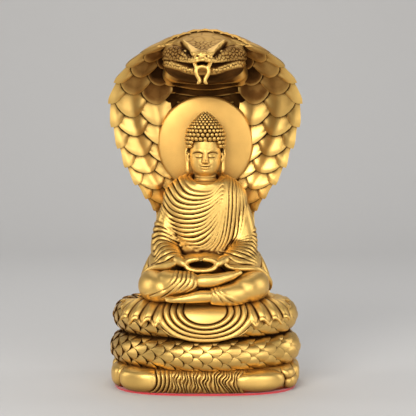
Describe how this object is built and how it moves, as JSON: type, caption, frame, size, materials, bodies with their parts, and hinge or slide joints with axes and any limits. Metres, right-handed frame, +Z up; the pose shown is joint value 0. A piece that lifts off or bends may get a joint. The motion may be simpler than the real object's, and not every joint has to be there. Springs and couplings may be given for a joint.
{
  "type": "naga buddha statuette",
  "caption": "Seated Buddha in meditation on a coiled naga whose scaled hood rises behind as a canopy, with a plain halo, on a rocky plinth.",
  "frame": {"origin": "middle of the felt's underside, where the statuette stands", "axes": "+Z up, -Y the way the figure and the naga's head look, +X to the viewer's right"},
  "size_m": [0.1629, 0.126, 0.2998],
  "materials": {
    "gilt_brass": "bright gilt brass with dark brown patina in the recesses",
    "satin_brass": "smooth satin gilt brass",
    "felt": "red felt"
  },
  "bodies": {
    "root": {"felt_pad": "felt", "rock_plinth": "gilt_brass", "naga": "gilt_brass", "halo": "satin_brass", "buddha": "gilt_brass"}
  },
  "joints": []
}
